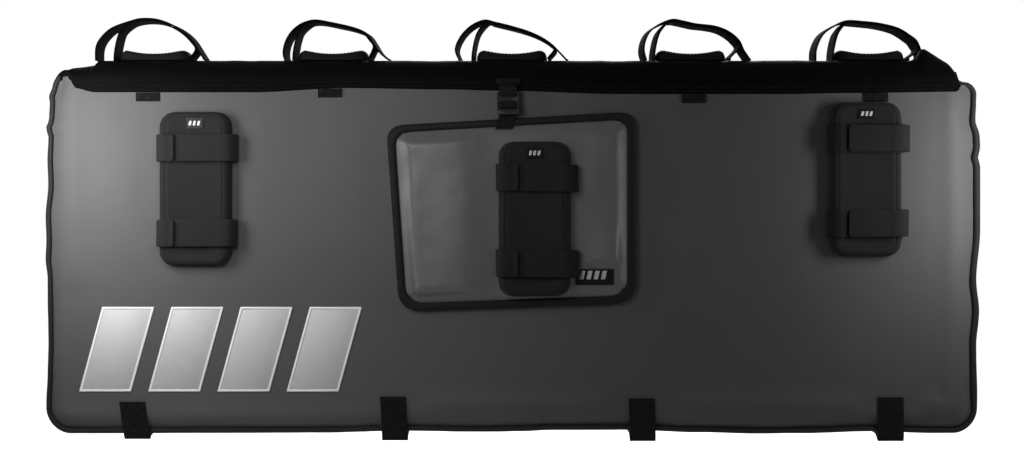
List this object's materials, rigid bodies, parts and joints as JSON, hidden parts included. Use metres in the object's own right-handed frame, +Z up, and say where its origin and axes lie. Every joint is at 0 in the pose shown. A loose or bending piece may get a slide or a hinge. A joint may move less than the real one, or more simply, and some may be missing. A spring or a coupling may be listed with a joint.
{
  "type": "tailgate bike pad",
  "caption": "Padded cover that hangs over a pickup tailgate, with foam tube cradles and hook-and-loop straps, an access flap and webbing ties.",
  "frame": {"origin": "middle of the underside of the top, where the lining sits on the tailgate's upper edge", "axes": "+X along the tailgate, to the right seen from the outside; +Y from the outer face towards the truck bed; +Z up"},
  "size_m": [1.3694, 0.1521, 0.6222],
  "materials": {
    "tarpaulin": "satin coated tarpaulin over foam, charcoal",
    "top_tarpaulin": "satin coated tarpaulin over foam, black",
    "fleece": "brushed fleece, soft",
    "piping": "coated binding tape, satin",
    "webbing": "woven polyester webbing",
    "cradle": "coated fabric over moulded foam, matt",
    "hook_loop": "hook-and-loop tape, matt",
    "plastic": "moulded acetal, satin",
    "label": "woven label",
    "reflector": "silver reflective film, satin"
  },
  "bodies": {
    "root": {"access_flap": "tarpaulin", "anchor_tab_1": "webbing", "anchor_tab_2": "webbing", "anchor_tab_3": "webbing", "anchor_tab_4": "webbing", "anchor_tab_5": "webbing", "back_panel": "top_tarpaulin", "back_piping": "piping", "buckle_loop": "webbing", "cradle_label_1": "label", "cradle_label_2": "label", "cradle_label_3": "label", "flap_binding": "piping", "flap_buckle": "plastic", "flap_label": "label", "flap_strap": "webbing", "fleece_lining": "fleece", "front_cradle_1": "cradle", "front_cradle_2": "cradle", "front_cradle_3": "cradle", "front_panel": "tarpaulin", "front_piping": "piping", "front_strap_lower_1": "hook_loop", "front_strap_lower_2": "hook_loop", "front_strap_lower_3": "hook_loop", "front_strap_upper_1": "hook_loop", "front_strap_upper_2": "hook_loop", "front_strap_upper_3": "hook_loop", "reflector_1": "reflector", "reflector_2": "reflector", "reflector_3": "reflector", "reflector_4": "reflector", "tie_buckle_1": "plastic", "tie_buckle_2": "plastic", "tie_buckle_3": "plastic", "tie_buckle_4": "plastic", "tie_loop_1": "webbing", "tie_loop_2": "webbing", "tie_loop_3": "webbing", "tie_loop_4": "webbing", "tie_strap_1": "webbing", "tie_strap_2": "webbing", "tie_strap_3": "webbing", "tie_strap_4": "webbing", "top_cradle_1": "cradle", "top_cradle_2": "cradle", "top_cradle_3": "cradle", "top_cradle_4": "cradle", "top_cradle_5": "cradle", "top_loop_strap_1": "hook_loop", "top_loop_strap_2": "hook_loop", "top_loop_strap_3": "hook_loop", "top_loop_strap_4": "hook_loop", "top_loop_strap_5": "hook_loop", "top_panel": "top_tarpaulin", "top_rear_strap_1": "hook_loop", "top_rear_strap_2": "hook_loop", "top_rear_strap_3": "hook_loop", "top_rear_strap_4": "hook_loop", "top_rear_strap_5": "hook_loop"}
  },
  "joints": []
}
